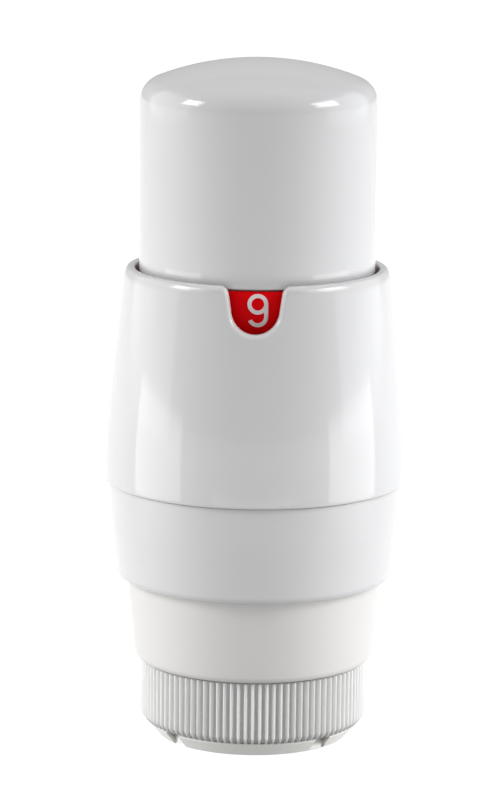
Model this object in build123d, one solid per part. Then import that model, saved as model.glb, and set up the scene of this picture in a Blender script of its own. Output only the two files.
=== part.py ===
from build123d import *
import math
import os

# Thermostatic radiator head with an M30 x 1.5 union nut.
# The frame: +Z runs from the union nut up to the handwheel cap, the origin is the bottom
# centre of the nut, and the window with the scale faces -Y.  All sizes are millimetres.

# ---------------------------------------------------------------- driving dimensions
LENGTH = 105.0            # nut face to top of the cap
GAP = 0.25                # free gap between pieces that slide or turn past each other
RUN = 0.06                # radial clearance of a running fit

THREAD_MINOR_R = 14.19    # minor radius of the M30 x 1.5 nut thread
THREAD_LENGTH = 7.5       # threaded wall, from the nut face up to the seat
SEAT_Z = 9.3              # seat that meets the face of the valve neck
SEAT_R = 14.0             # outer edge of that seat, inside the thread

NUT_SLEEVE_Z = (2.3, 11.9)      # knurled sleeve
NUT_SLEEVE_R = 17.5             # over the ribs
KNURL_COUNT = 100
KNURL_DEPTH = 0.45
NUT_TURN_DEG = -3.8             # how the nut stands against the window
NUT_SLOT_WIDTH = 2.8
NUT_INSERT_R = 16.0
SPLINE_COUNT = 8

COLLAR_R = 14.66          # collar of the base that the nut turns on
SOCKET_R = 10.4           # room for the insert of the valve, inside the collar
SOCKET_TOP_Z = 26.9

CONE_Z = (12.1, 25.0)
SKIRT_Z = (25.1, 40.2)
BARREL_Z = (40.3, 73.2)
BARREL_R = 23.25                # at the foot of the barrel
BARREL_BEND_Z = (42.0, 52.0)    # the wall leaves the upright here and is a straight taper above
BARREL_TAPER = 0.115            # radius lost per millimetre of height on the taper
BARREL_WALL = 1.6
BARREL_EDGE = 0.65              # round of the rim
WINDOW_HALF = 3.95
WINDOW_BOTTOM_R = 3.6
WINDOW_DEPTH = 7.0
WINDOW_FLARE_R = 1.5
BASE_TUBE_R = (17.1, 18.9)
CUP_R = (19.2, 20.9)      # cup at the top of the base, round the handwheel flange
CUP_Z = (45.0, 50.0)

CAP_R = 18.05
CAP_WALL = 1.85
CAP_BOTTOM_Z = 72.5
CAP_SHOULDER_Z = 99.4

BUSH_R = (13.45, 15.6)    # threaded bush of the handwheel, over its lands and outside
BUSH_Z = (43.3, 58.4)
LUG_HALF_DEG = 14.8       # half width of the turning lug and of the fixed stop
LUG_MID_DEG = -90.0       # where the turning lug stands when the scale shows 6

LEAD = 6.0                # lead of the left-hand adjusting thread
THREAD_STARTS = 2
RIDGE_Z = (51.0, 57.0)
RIDGE_HEIGHT = 1.0
RIDGE_WIDTH = 1.3

CARRIER_R = (12.2, 13.2)
CARRIER_CUP_R = (14.3, 15.3)
CARRIER_CUP_Z = (64.5, 92.0)
KEY_COUNT = 3
KEY_WIDTH = 3.0

CAN_R = 12.0
CAN_Z = (66.9, 96.0)
PIN_R = 3.0
TIP_FACE_Z = 24.9         # face that pushes the pin of the valve, at setting 6

SCALE_R = (16.9, 17.8)
SCALE_Z = (62.5, 72.2)
STEP_DEG = 50.0           # turn from one number of the scale to the next
DIGIT_WIDTH = 3.1
DIGIT_HEIGHT = 5.0
DIGIT_STROKE = 0.6
DIGIT_MID_Z = 69.3
DIGIT_PROUD = 0.1

os.makedirs("parts", exist_ok=True)


# ---------------------------------------------------------------- helpers
def turned(points):
    """Solid of revolution about Z from (radius, height) points joined by straight lines."""
    face = make_face(Polyline(*[(r, 0, z) for r, z in points], close=True))
    return revolve(face, Axis.Z, 360)


def tube(r_in, r_out, z_low, z_high):
    """Plain tube between two heights."""
    return turned([(r_in, z_low), (r_out, z_low), (r_out, z_high), (r_in, z_high)])


def wedge(r_in, r_out, z_low, z_high, mid_deg, half_deg):
    """Sector of a tube, centred on an angle measured from +X."""
    start = mid_deg - half_deg
    face = make_face(Polyline((r_in, 0, z_low), (r_out, 0, z_low), (r_out, 0, z_high),
                              (r_in, 0, z_high), close=True))
    return Rot(0, 0, start) * revolve(face, Axis.Z, 2 * half_deg)


def radial_bar(r_in, r_out, width, z_low, z_high, angle):
    """Straight bar that points away from the axis."""
    bar = Box(r_out - r_in, width, z_high - z_low)
    place = Pos((r_in + r_out) / 2, 0, (z_low + z_high) / 2)
    return Rot(0, 0, angle) * place * bar


def around(count, start_deg=0.0):
    """Angles of pieces spaced evenly round the axis."""
    return [start_deg + 360.0 * k / count for k in range(count)]


def helical_ridge(root_r, tip_r, root_width, tip_width, z_low, z_high, start_deg):
    """Left-hand ridge of trapezoid section; it may stand outwards or inwards from its root."""
    path = Helix(LEAD, z_high - z_low, root_r, lefthand=True)
    root, tip = root_width / 2, tip_width / 2
    section = make_face(Polyline((root_r, 0, -root), (tip_r, 0, -tip), (tip_r, 0, tip),
                                 (root_r, 0, root), close=True))
    ridge = sweep(section, path, is_frenet=True)
    return Pos(0, 0, z_low) * Rot(0, 0, start_deg) * ridge


def write(shape, node):
    """One STEP file for each piece."""
    shape.label = node
    export_step(shape, f"parts/{node}.step")


# ---------------------------------------------------------------- union nut
def union_nut_insert():
    """Threaded insert: four barbed segments snap under the sleeve, and eight splines drive it."""
    top_z = NUT_SLEEVE_Z[1]
    barb_z = NUT_SLEEVE_Z[0]
    groove_low, groove_high = 9.9, 11.1
    body = turned([(THREAD_MINOR_R, 0), (14.75, 0), (16.35, barb_z - 0.35), (16.35, barb_z - 0.05),
                   (15.5, barb_z - 0.05), (15.5, top_z), (COLLAR_R + RUN, top_z),
                   (COLLAR_R + RUN, groove_high), (15.15, groove_high), (15.15, groove_low),
                   (COLLAR_R + RUN, groove_low), (COLLAR_R + RUN, THREAD_LENGTH + 0.5),
                   (THREAD_MINOR_R, THREAD_LENGTH)])
    for angle in around(4, 45.0 + NUT_TURN_DEG):
        body -= radial_bar(14.9, 17.0, NUT_SLOT_WIDTH, -0.5, barb_z - 0.02, angle)
        body -= radial_bar(13.5, 17.0, NUT_SLOT_WIDTH, -0.5, 1.2, angle)
    for angle in around(SPLINE_COUNT, NUT_TURN_DEG):
        body += radial_bar(15.3, NUT_INSERT_R, 2.4, barb_z + 0.3, top_z - 0.4, angle)
    return body


def knurled_sleeve():
    """Grip sleeve of the nut with fine straight ribs and a chamfered lower edge."""
    low, high = NUT_SLEEVE_Z
    root_r = NUT_SLEEVE_R - KNURL_DEPTH
    inner_r = 15.6
    pitch = 2 * math.pi / KNURL_COUNT
    points = []
    for k in range(KNURL_COUNT):
        base = k * pitch
        for part, radius in ((0.0, root_r), (0.28, NUT_SLEEVE_R), (0.58, NUT_SLEEVE_R), (0.86, root_r)):
            angle = base + part * pitch
            points.append((radius * math.cos(angle), radius * math.sin(angle)))
    ribbed = extrude(make_face(Polyline(*points, close=True)), high - low)
    ribbed = Pos(0, 0, low) * ribbed
    envelope = turned([(0, low), (16.45, low), (NUT_SLEEVE_R, low + 1.15), (NUT_SLEEVE_R, high - 0.25),
                       (NUT_SLEEVE_R - 0.25, high), (0, high)])
    sleeve = (ribbed & envelope) - tube(0, inner_r, low - 1, high + 1)
    for angle in around(SPLINE_COUNT, NUT_TURN_DEG):
        sleeve -= radial_bar(15.0, NUT_INSERT_R + 0.1, 2.6, low - 1, high + 1, angle)
    return sleeve


def nut_retaining_ring():
    """Open wire ring in the groove of the collar, which holds the nut on the base."""
    return wedge(14.15, 14.95, 10.1, 10.9, 90.0, 172.0)


# ---------------------------------------------------------------- fixed housing
def base_housing():
    """Lower cone, socket for the valve neck, inner tube and the cup that carries the handwheel."""
    cone_low, cone_high = CONE_Z
    roof_z = SOCKET_TOP_Z + 2.6
    profile = [
        (SOCKET_R, SEAT_Z), (SEAT_R, SEAT_Z), (COLLAR_R, SEAT_Z + 0.45), (COLLAR_R, 10.0), (14.1, 10.0),
        (14.1, 11.0), (COLLAR_R, 11.0), (COLLAR_R, cone_low), (17.7, cone_low), (18.25, cone_low + 0.4),
        (18.55, cone_low + 1.2), (18.65, cone_low + 2.2), (19.62, cone_high),
        (BASE_TUBE_R[1], cone_high), (BASE_TUBE_R[1], 41.5), (CUP_R[1], 43.6), (CUP_R[1], CUP_Z[1]),
        (CUP_R[0], CUP_Z[1]), (CUP_R[0], 47.95), (19.85, 47.95), (19.85, 46.9), (CUP_R[0], 46.9),
        (CUP_R[0], CUP_Z[0]), (BASE_TUBE_R[0], CUP_Z[0]), (BASE_TUBE_R[0], 30.0), (15.9, 30.0),
        (15.9, 26.0), (16.8, 24.0), (16.6, 14.0), (12.0, 14.0), (12.0, roof_z), (6.05, roof_z),
        (6.05, SOCKET_TOP_Z), (SOCKET_R, SOCKET_TOP_Z)]
    body = turned(profile)
    for angle in around(6, 30.0):
        body += radial_bar(11.5, 16.3, 1.4, 13.5, 25.5, angle)
    body += wedge(18.5, CUP_R[0] + 0.2, CUP_Z[0] - 0.3, 46.85, LUG_MID_DEG + 30.0, LUG_HALF_DEG)
    return body


def tappet_guide():
    """Flanged plastic bush in the roof of the socket that guides the push pin."""
    roof_z = SOCKET_TOP_Z + 2.6
    return turned([(PIN_R + RUN, SOCKET_TOP_Z), (6.0, SOCKET_TOP_Z), (6.0, roof_z + 0.05),
                   (7.5, roof_z + 0.05), (7.5, roof_z + 1.2), (5.0, roof_z + 1.6), (4.4, 37.0),
                   (PIN_R + RUN, 37.0)])


def carriage_guide():
    """Keyed guide pressed into the base, so that the carrier slides but can't turn."""
    inner_r = CARRIER_R[1] + GAP
    top_z = CUP_Z[0] - 2.0
    body = turned([(inner_r, 30.0), (17.05, 30.0), (17.05, 32.0), (15.6, 32.6), (15.6, 41.0),
                   (17.05, 41.6), (17.05, top_z), (inner_r, top_z)])
    for angle in around(KEY_COUNT, 90.0):
        body -= radial_bar(12.0, 15.1, KEY_WIDTH + 0.4, 31.0, top_z + 1, angle)
    return body


def skirt_ring():
    """Middle ring of the housing, a little recessed below the barrel."""
    low, high = SKIRT_Z
    profile = [
        (19.0, low), (20.0, low), (20.75, low + 0.25), (21.25, low + 0.9), (21.55, low + 2.0),
        (22.25, 34.0), (22.7, high), (21.35, high), (21.35, 43.4), (20.95, 43.4), (20.95, high),
        (20.6, 34.0), (19.95, low + 2.2), (19.0, low + 2.2)]
    return turned(profile)


def barrel_radius(z):
    """Outside radius of the barrel: upright at the foot, then a smooth turn into a straight taper."""
    upright_top, taper_start = BARREL_BEND_Z
    bend = min(max(z - upright_top, 0), taper_start - upright_top)
    drop = BARREL_TAPER * bend ** 2 / (2 * (taper_start - upright_top))
    return BARREL_R - drop - BARREL_TAPER * max(z - taper_start, 0)


def barrel_shell():
    """Outer barrel with the U-shaped window at the front of its rim."""
    foot, rim = BARREL_Z
    outside = [(BARREL_R - 0.3, foot), (BARREL_R - 0.09, foot + 0.09), (BARREL_R, foot + 0.3)]
    outside += [(barrel_radius(z), z) for z in (42.0, 44.0, 46.0, 48.0, 50.0, 52.0, rim - BARREL_EDGE)]
    rim_r = barrel_radius(rim)
    outside += [(rim_r - 0.29 * BARREL_EDGE, rim - 0.29 * BARREL_EDGE), (rim_r - BARREL_EDGE, rim)]
    inside = [(rim_r - BARREL_WALL + 0.3, rim)]
    inside += [(barrel_radius(z) - BARREL_WALL, z) for z in (rim - 0.3, 53.0)]
    inside += [(19.6, 51.6), (19.6, CUP_Z[1] + 0.05), (21.2, CUP_Z[1] + 0.05), (21.38, 43.4),
               (21.38, foot)]
    return turned(outside + inside) - window_cutter()


def window_cutter():
    """U-shaped prism through the front wall, flared where it leaves the rim."""
    half, bottom_r, flare = WINDOW_HALF, WINDOW_BOTTOM_R, WINDOW_FLARE_R
    rim, bottom = BARREL_Z[1], BARREL_Z[1] - WINDOW_DEPTH
    centre_z = bottom + bottom_r
    turn = 0.293 * flare
    outline = make_face([
        Polyline((-half - flare, rim + 2), (-half - flare, rim), ),
        ThreePointArc((-half - flare, rim), (-half - turn, rim - turn), (-half, rim - flare)),
        Line((-half, rim - flare), (-bottom_r, centre_z)),
        ThreePointArc((-bottom_r, centre_z), (0, bottom), (bottom_r, centre_z)),
        Line((bottom_r, centre_z), (half, rim - flare)),
        ThreePointArc((half, rim - flare), (half + turn, rim - turn), (half + flare, rim)),
        Polyline((half + flare, rim), (half + flare, rim + 2), (-half - flare, rim + 2)),
    ])
    prism = extrude(Plane.XZ * outline, 15.0)
    return Pos(0, -12.0, 0) * prism


# ---------------------------------------------------------------- handwheel
def dome_arc(edge_r, edge_z, apex_z):
    """Arc of a sphere centred on the axis, from the axis down to an edge circle."""
    rise = apex_z - edge_z
    sphere_r = (edge_r ** 2 + rise ** 2) / (2 * rise)
    half_angle = math.asin(edge_r / sphere_r) / 2
    middle = (sphere_r * math.sin(half_angle), apex_z - sphere_r * (1 - math.cos(half_angle)))
    return ThreePointArc((0, apex_z), middle, (edge_r, edge_z))


def handwheel_cap():
    """Closed cap: shallow dome, smooth wall and a thinner skirt that carries the scale ring."""
    edge_z = CAP_SHOULDER_Z
    inner_r, apex_in = CAP_R - CAP_WALL, LENGTH - CAP_WALL
    dome_r, dome_z = CAP_R - 2.6, edge_z + 2.24
    dome_in_r, dome_in_z = inner_r - 1.0, edge_z + 0.86
    skirt_out, skirt_in = SCALE_R[0] - 0.05, BUSH_R[1] + 0.05
    outline = make_face([
        Line((0, apex_in), (0, LENGTH)),
        dome_arc(dome_r, dome_z, LENGTH),
        ThreePointArc((dome_r, dome_z), (CAP_R - 0.62, edge_z + 1.45), (CAP_R, edge_z)),
        Polyline((CAP_R, edge_z), (CAP_R, CAP_BOTTOM_Z + 0.2), (CAP_R - 0.2, CAP_BOTTOM_Z),
                 (skirt_out, CAP_BOTTOM_Z), (skirt_out, 48.2), (skirt_in, 48.2), (skirt_in, 70.5),
                 (inner_r, 72.6), (inner_r, edge_z)),
        ThreePointArc((inner_r, edge_z), (inner_r - 0.24, edge_z + 0.55), (dome_in_r, dome_in_z)),
        dome_arc(dome_in_r, dome_in_z, apex_in),
    ])
    return revolve(Plane.XZ * outline, Axis.Z, 360)


def threaded_bush():
    """Bush with internal helical lands, and the flange and spigot that turn in the base."""
    inner_r, outer_r = BUSH_R
    bore_r = inner_r + RIDGE_HEIGHT
    low, high = BUSH_Z
    flange_low, flange_high = CUP_Z[0] + 0.1, 46.7
    spigot_r = BASE_TUBE_R[0] - RUN
    body = turned([(bore_r, low), (spigot_r, low), (spigot_r, flange_low), (18.2, flange_low),
                   (18.2, flange_high), (outer_r, flange_high), (outer_r, high), (bore_r, high)])
    body += wedge(17.5, 19.0, flange_low, flange_high, LUG_MID_DEG, LUG_HALF_DEG)
    land_low, land_high = low + 1.0, high - 1.0
    land_width = LEAD / THREAD_STARTS - RIDGE_WIDTH - 2 * GAP
    half_step = 180.0 / THREAD_STARTS
    first = half_step + 360.0 * (RIDGE_Z[0] - land_low) / LEAD
    for angle in around(THREAD_STARTS, first):
        body += helical_ridge(bore_r + 0.3, inner_r, land_width + 0.65, land_width,
                              land_low, land_high, angle)
    return body


def scale_ring():
    """Coloured ring that carries the numbers."""
    low, high = SCALE_Z
    return tube(SCALE_R[0], SCALE_R[1], low, high)


def bar_stroke(start, end):
    """Straight stroke with round ends, as a prism through the XY plane."""
    run = math.dist(start, end)
    angle = math.degrees(math.atan2(end[1] - start[1], end[0] - start[0]))
    middle = Pos((start[0] + end[0]) / 2, (start[1] + end[1]) / 2, 0)
    pieces = [middle * Rot(0, 0, angle) * Box(run, DIGIT_STROKE, 3.0)]
    return pieces + [Pos(x, y, 0) * Cylinder(DIGIT_STROKE / 2, 3.0) for x, y in (start, end)]


def arc_stroke(centre_y, radius, start_deg, end_deg):
    """Round stroke about a point on the middle line of the numeral."""
    edge = DIGIT_STROKE / 2
    middle, half = (start_deg + end_deg) / 2, (end_deg - start_deg) / 2
    return [Pos(0, centre_y, 0) * wedge(radius - edge, radius + edge, -1.5, 1.5, middle, half)]


def digit_strokes(number):
    """Strokes of a numeral that stands upright, centred in its box."""
    w = (DIGIT_WIDTH - DIGIT_STROKE) / 2
    h = (DIGIT_HEIGHT - DIGIT_STROKE) / 2
    bowl = h - w
    small = 0.76 * w
    if number == 0:
        return (arc_stroke(bowl, w, 0, 180) + arc_stroke(-bowl, w, 180, 360)
                + bar_stroke((-w, -bowl), (-w, bowl)) + bar_stroke((w, -bowl), (w, bowl)))
    if number == 1:
        return bar_stroke((0.3, -h), (0.3, h)) + bar_stroke((0.3, h), (-0.6 * w, h - 0.9))
    if number == 2:
        return (arc_stroke(bowl, w, -35, 170) + bar_stroke((0.82 * w, bowl - 0.57 * w), (-w, -h))
                + bar_stroke((-w, -h), (w, -h)))
    if number == 3:
        return arc_stroke(h - small, small, -90, 160) + arc_stroke(-bowl, w, -155, 90)
    if number == 4:
        return (bar_stroke((0.4 * w, -h), (0.4 * w, h)) + bar_stroke((0.4 * w, h), (-w, -0.35 * h))
                + bar_stroke((-w, -0.35 * h), (w, -0.35 * h)))
    if number == 5:
        corner = (-0.77 * w, h)
        return (bar_stroke(corner, (0.8 * w, h)) + bar_stroke(corner, (-0.77 * w, 0.64 * w - bowl))
                + arc_stroke(-bowl, w, -150, 140))
    return (arc_stroke(-bowl, w, 0, 359.9) + bar_stroke((-w, -bowl), (-w, bowl))
            + arc_stroke(bowl, w, 25, 180))


def scale_numerals():
    """Numbers 0 to 6 as thin prints that follow the ring; their feet point to the cap."""
    film = tube(SCALE_R[1], SCALE_R[1] + DIGIT_PROUD, SCALE_Z[0], SCALE_Z[1])
    digits = []
    for number in range(7):
        stand = Pos(0, -SCALE_R[1], DIGIT_MID_Z) * Rot(90, 0, 0) * Rot(0, 0, 180)
        prints = [film & (stand * stroke) for stroke in digit_strokes(number)]
        digit = prints[0].fuse(*prints[1:])
        digits += (Rot(0, 0, STEP_DEG * (6 - number)) * digit).solids()
    return Compound(children=digits)


def handwheel_retaining_ring():
    """Spring steel snap ring in the cup of the base, above the flange of the bush."""
    return wedge(18.3, 19.75, 47.0, 47.85, 90.0, 168.0)


# ---------------------------------------------------------------- sensor carriage
def threaded_carrier():
    """Tube with keys, two-start ridges and the cup that holds the sensor and its spring."""
    inner_r, outer_r = CARRIER_R
    cup_in, cup_out = CARRIER_CUP_R
    low = 36.5
    cup_low, cup_high = CARRIER_CUP_Z
    body = turned([(inner_r, low), (outer_r, low), (outer_r, cup_low - 0.5), (cup_out, cup_low),
                   (cup_out, cup_high), (cup_in, cup_high), (cup_in, 89.35), (14.7, 89.35),
                   (14.7, 87.95), (cup_in, 87.95), (cup_in, cup_low + 1.0), (inner_r, cup_low + 1.0)])
    for angle in around(KEY_COUNT, 90.0):
        key = radial_bar(13.0, 14.8, KEY_WIDTH, low, low + 5.0, angle)
        body += key
    for angle in around(THREAD_STARTS):
        body += helical_ridge(outer_r - 0.3, outer_r + RIDGE_HEIGHT - GAP, RIDGE_WIDTH + 0.1,
                              RIDGE_WIDTH - 0.35, RIDGE_Z[0], RIDGE_Z[1], angle)
    return body


def spring_retainer():
    """Split clip ring in the groove of the carrier cup, which the spring pushes against."""
    return wedge(12.3, 14.6, 88.0, 89.3, 90.0, 170.0)


def overload_spring():
    """Flat-ended compression spring between the sensor flange and the retainer."""
    wire_r, mean_r, turns = 0.6, 13.2, 6.0
    low, high = 67.95, 87.9
    path = Helix((high - low - 2 * wire_r) / turns, high - low - 2 * wire_r, mean_r)
    section = Plane(origin=path @ 0, z_dir=path % 0) * Circle(wire_r)
    coil = sweep(section, path, is_frenet=True)
    return Pos(0, 0, low + wire_r) * coil


# ---------------------------------------------------------------- sensor
def sensor_can():
    """Drawn metal can, closed at the top, that holds the sensor liquid."""
    low, high = CAN_Z
    wall = 0.6
    return turned([(CAN_R - wall, low), (CAN_R, low), (CAN_R, high - 2.0), (CAN_R - 0.6, high - 0.6),
                   (CAN_R - 2.0, high), (1.25, high), (1.25, high - wall), (CAN_R - 2.2, high - wall),
                   (CAN_R - wall - 0.45, high - wall - 0.45), (CAN_R - wall, high - 2.2)])


def fill_tube():
    """Pinched copper stub in the top of the can, closed after filling."""
    return Pos(0, 0, CAN_Z[1] + 0.15) * Cylinder(1.2, 2.3) + Pos(0, 0, CAN_Z[1] + 1.7) * Box(3.0, 0.8, 0.9)


def sensor_end_plate():
    """Flanged plate that closes the can at the bottom and carries the bellows."""
    seat = CARRIER_CUP_Z[0] + 1.0
    return turned([(5.5, seat), (14.0, seat), (14.0, CAN_Z[0] + 0.9), (CAN_R + 0.05, CAN_Z[0] + 0.9),
                   (CAN_R + 0.05, CAN_Z[0] - 0.05), (5.5, CAN_Z[0] - 0.05)])


def bellows():
    """Corrugated metal bellows between the end plate and the bellows cap."""
    low, high, folds = CAN_Z[0], 89.9, 9
    wall, root_r, crest_r = 0.35, 5.9, 8.4
    pitch = (high - low) / folds
    outer, inner = [], []
    for k in range(folds):
        z = low + k * pitch
        outer += [(root_r + wall, z), (crest_r, z + pitch * 0.4), (crest_r, z + pitch * 0.6)]
        inner += [(root_r, z), (crest_r - wall, z + pitch * 0.4 + 0.1), (crest_r - wall, z + pitch * 0.6 - 0.1)]
    outer.append((root_r + wall, high))
    inner.append((root_r, high))
    return turned(outer + inner[::-1])


def bellows_cap():
    """Disc that closes the bellows at the top; the push pin stands in its middle."""
    return turned([(0, 89.95), (8.4, 89.95), (8.4, 91.0), (0, 91.0)]) - turned(
        [(0, 89.0), (PIN_R + 0.02, 89.0), (PIN_R + 0.02, 90.4), (0, 90.4)])


# ---------------------------------------------------------------- tappet
def push_pin():
    """Long plastic pin that carries the stroke of the sensor down to the valve."""
    return turned([(0, TIP_FACE_Z + 1.1), (1.6, TIP_FACE_Z + 1.1), (1.6, TIP_FACE_Z + 2.6),
                   (PIN_R, TIP_FACE_Z + 2.6), (PIN_R, 90.38), (0, 90.38)])


def pin_tip():
    """Hard button pressed on the foot of the push pin."""
    return turned([(0, TIP_FACE_Z), (2.6, TIP_FACE_Z), (2.95, TIP_FACE_Z + 0.35),
                   (2.95, TIP_FACE_Z + 2.55), (1.62, TIP_FACE_Z + 2.55), (1.62, TIP_FACE_Z + 1.05),
                   (0, TIP_FACE_Z + 1.05)])


# ---------------------------------------------------------------- all pieces
PIECES = [
    union_nut_insert, knurled_sleeve,
    base_housing, nut_retaining_ring, tappet_guide, carriage_guide, skirt_ring, barrel_shell,
    handwheel_retaining_ring,
    handwheel_cap, threaded_bush, scale_ring, scale_numerals,
    threaded_carrier, spring_retainer, overload_spring,
    sensor_can, fill_tube, sensor_end_plate, bellows, bellows_cap,
    push_pin, pin_tip,
]

for piece in PIECES:
    write(piece(), piece.__name__)
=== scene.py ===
# %% [markdown]
# A thermostatic radiator head, stood on its union nut.
# The CAD model is the fixed frame: it says where every piece is and how it moves.
# This file gives each visible piece a finer mesh and a finish, lights it like a small
# product studio, and leaves every size as the CAD says.

# %% Load the frame
import bmesh
import bpy
import math
import numpy as np
from mathutils import Matrix, Vector


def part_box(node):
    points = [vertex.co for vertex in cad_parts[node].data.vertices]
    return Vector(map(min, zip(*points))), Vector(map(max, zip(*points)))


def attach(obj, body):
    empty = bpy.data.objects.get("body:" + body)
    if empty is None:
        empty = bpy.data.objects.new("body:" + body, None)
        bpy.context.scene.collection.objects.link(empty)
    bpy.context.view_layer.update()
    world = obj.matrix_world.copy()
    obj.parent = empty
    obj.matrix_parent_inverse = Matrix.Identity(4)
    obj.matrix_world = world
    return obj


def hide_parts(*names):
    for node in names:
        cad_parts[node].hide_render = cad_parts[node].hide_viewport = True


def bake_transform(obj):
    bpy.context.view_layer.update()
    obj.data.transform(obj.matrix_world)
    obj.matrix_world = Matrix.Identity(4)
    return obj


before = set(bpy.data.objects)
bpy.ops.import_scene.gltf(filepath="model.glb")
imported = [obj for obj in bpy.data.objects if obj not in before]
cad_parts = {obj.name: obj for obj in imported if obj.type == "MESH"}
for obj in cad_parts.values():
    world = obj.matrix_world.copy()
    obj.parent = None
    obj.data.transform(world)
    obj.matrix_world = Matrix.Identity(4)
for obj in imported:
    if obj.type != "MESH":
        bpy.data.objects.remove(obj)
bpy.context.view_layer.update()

# %% [markdown]
# All heights come from the frame. `low` and `high` give the ends of a node in metres, and
# `MM` turns a millimetre into metres, so that small details can be named in millimetres.

# %% Sizes read from the frame
MM = 0.001


def low(node):
    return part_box(node)[0].z


def high(node):
    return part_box(node)[1].z


def radius(node):
    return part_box(node)[1].x


TOP = high("handwheel_cap")
RIM = high("barrel_shell")
BARREL_FOOT = low("barrel_shell")
SEAM = BARREL_FOOT - 0.1 * MM
CAP_R = radius("handwheel_cap")
print(f"head {TOP / MM:.1f} mm tall, barrel rim at {RIM / MM:.1f} mm, cap radius {CAP_R / MM:.2f} mm")

# %% [markdown]
# Camera first. A long lens far away keeps the sides of the cylinder nearly parallel.
# It looks down by a little under twelve degrees and is rolled by less than one degree,
# because the head leans a little in the frame. The view is turned rather than shifted.

# %% Camera
DISTANCE = 0.586
EYE_HEIGHT = 0.1686
LOOK_DOWN = math.radians(11.22)
LOOK_LEFT = math.radians(0.064)
ROLL = math.radians(0.58)
LENS = 174.9

camera_data = bpy.data.cameras.new("studio_camera")
camera_data.lens = LENS
camera_data.sensor_width = 36.0
camera = bpy.data.objects.new("studio_camera", camera_data)
bpy.context.scene.collection.objects.link(camera)
forward = Vector((-math.sin(LOOK_LEFT), math.cos(LOOK_DOWN), -math.sin(LOOK_DOWN))).normalized()
side = forward.cross(Vector((0, 0, 1))).normalized()
above = side.cross(forward)
right = math.cos(ROLL) * side + math.sin(ROLL) * above
up = math.cos(ROLL) * above - math.sin(ROLL) * side
turn = Matrix((right, up, -forward)).transposed().to_4x4()
camera.matrix_world = Matrix.Translation((0, -DISTANCE, EYE_HEIGHT)) @ turn
bpy.context.scene.camera = camera
print("camera", tuple(round(v, 3) for v in camera.location), "lens", LENS)

# %% [markdown]
# A white object on a white ground gets its shape from the light alone. Even air light
# from the world keeps the middle a soft grey. Two big panels at the sides brighten the
# walls towards both edges, and two smaller windows, high and nearly beside the head,
# leave the little square highlights on its shoulders. Three short strips close to the
# foot lift the cone and the nut, which the big lights leave dull. A panel overhead is the
# usual first idea, but it burns out the dome and leaves the walls dark. Behind the floor
# the air would show as grey, so what the eye sees directly is made white.

# %% Lights
def area_light(name, place, target, size, power, tint=(1.0, 1.0, 1.0)):
    data = bpy.data.lights.new(name, "AREA")
    data.shape = "RECTANGLE"
    data.size, data.size_y = size
    data.energy = power
    data.color = tint
    light = bpy.data.objects.new(name, data)
    light.location = place
    light.rotation_euler = (Vector(target) - Vector(place)).to_track_quat("-Z", "Y").to_euler()
    light.visible_camera = False
    bpy.context.scene.collection.objects.link(light)
    return light


MIDDLE = (0, 0, 0.5 * TOP)
area_light("back_panel", (0, 2.2, 0.8), (0, 0, 0.2), (2.6, 1.4), 1.4)
area_light("left_panel", (-0.75, 0.12, 0.22), MIDDLE, (0.9, 0.9), 2.6, (1.0, 0.99, 0.97))
area_light("right_panel", (0.75, 0.12, 0.22), MIDDLE, (0.9, 0.9), 2.9, (0.97, 0.98, 1.0))
area_light("left_window", (-0.82, -0.26, 0.57), MIDDLE, (0.32, 0.34), 3.2)
area_light("right_window", (0.82, -0.24, 0.57), MIDDLE, (0.44, 0.34), 3.6)
LOW = (0, 0, 0.03)
area_light("left_strip", (-0.125, -0.035, 0.028), LOW, (0.10, 0.05), 0.035)
area_light("right_strip", (0.125, -0.035, 0.028), LOW, (0.10, 0.05), 0.037)
area_light("front_strip", (0, -0.11, 0.014), (0, 0, 0.004), (0.12, 0.016), 0.005)

AIR_COLOUR = (0.95, 0.95, 0.955, 1)
AIR_LIGHT = 0.39
WALL_WHITE = 1.1
world = bpy.data.worlds.new("studio_air")
world.use_nodes = True
air = world.node_tree.nodes["Background"]
air.inputs["Color"].default_value = AIR_COLOUR
light_path = world.node_tree.nodes.new("ShaderNodeLightPath")
strength = world.node_tree.nodes.new("ShaderNodeMath")
strength.operation = "MULTIPLY_ADD"
strength.inputs[1].default_value = WALL_WHITE - AIR_LIGHT
strength.inputs[2].default_value = AIR_LIGHT
world.node_tree.links.new(light_path.outputs["Is Camera Ray"], strength.inputs[0])
world.node_tree.links.new(strength.outputs[0], air.inputs["Strength"])
bpy.context.scene.world = world
bpy.context.scene.view_settings.view_transform = "Standard"

# %% [markdown]
# Materials. Moulded plastic is never one flat colour: the tool leaves a faint skin on it,
# fingers change the gloss, and dust settles along the seams. Each effect is a node group
# that puts out only values, and every material sets its own amounts.

# %% A small helper that writes node trees
class Nodes:
    """Adds nodes to a tree and links them, so that a recipe reads from top to bottom."""

    def __init__(self, tree):
        self.tree = tree

    def add(self, kind, inputs=None, **settings):
        node = self.tree.nodes.new(kind)
        for key, value in settings.items():
            setattr(node, key, value)
        for key, value in (inputs or {}).items():
            self.feed(node.inputs[key], value)
        return node

    def feed(self, socket, value):
        if isinstance(value, bpy.types.NodeSocket):
            self.tree.links.new(value, socket)
        else:
            socket.default_value = value

    def math(self, operation, *values, clamp=False):
        kind = "ShaderNodeMath"
        node = self.add(kind, dict(enumerate(values)), operation=operation, use_clamp=clamp)
        return node.outputs[0]


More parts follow.
